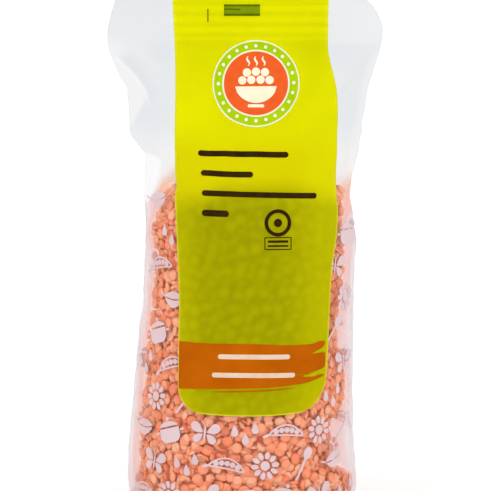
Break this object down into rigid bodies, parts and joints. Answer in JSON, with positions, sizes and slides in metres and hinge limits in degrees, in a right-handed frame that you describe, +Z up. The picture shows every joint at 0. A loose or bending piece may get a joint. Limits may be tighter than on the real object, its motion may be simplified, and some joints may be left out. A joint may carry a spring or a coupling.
{
  "type": "bag of lentils",
  "caption": "Clear pillow bag of red lentils standing upright, crimped flat across the top, with a long label folded over the top seal.",
  "frame": {"origin": "on the surface that the bag stands on, under the middle of the bag", "axes": "+Z up along the bag, -Y out of the side with the longer fall of the label, +X to that side's right"},
  "size_m": [0.1148, 0.0661, 0.2219],
  "materials": {
    "lentils": "dry split lentils, salmon orange, dull",
    "film": "clear plastic film, glossy, softly wrinkled",
    "label": "printed yellow green label, satin",
    "print_white": "white printed motifs on the film"
  },
  "bodies": {
    "root": {"bag": "lentils", "label": "label"}
  },
  "joints": []
}
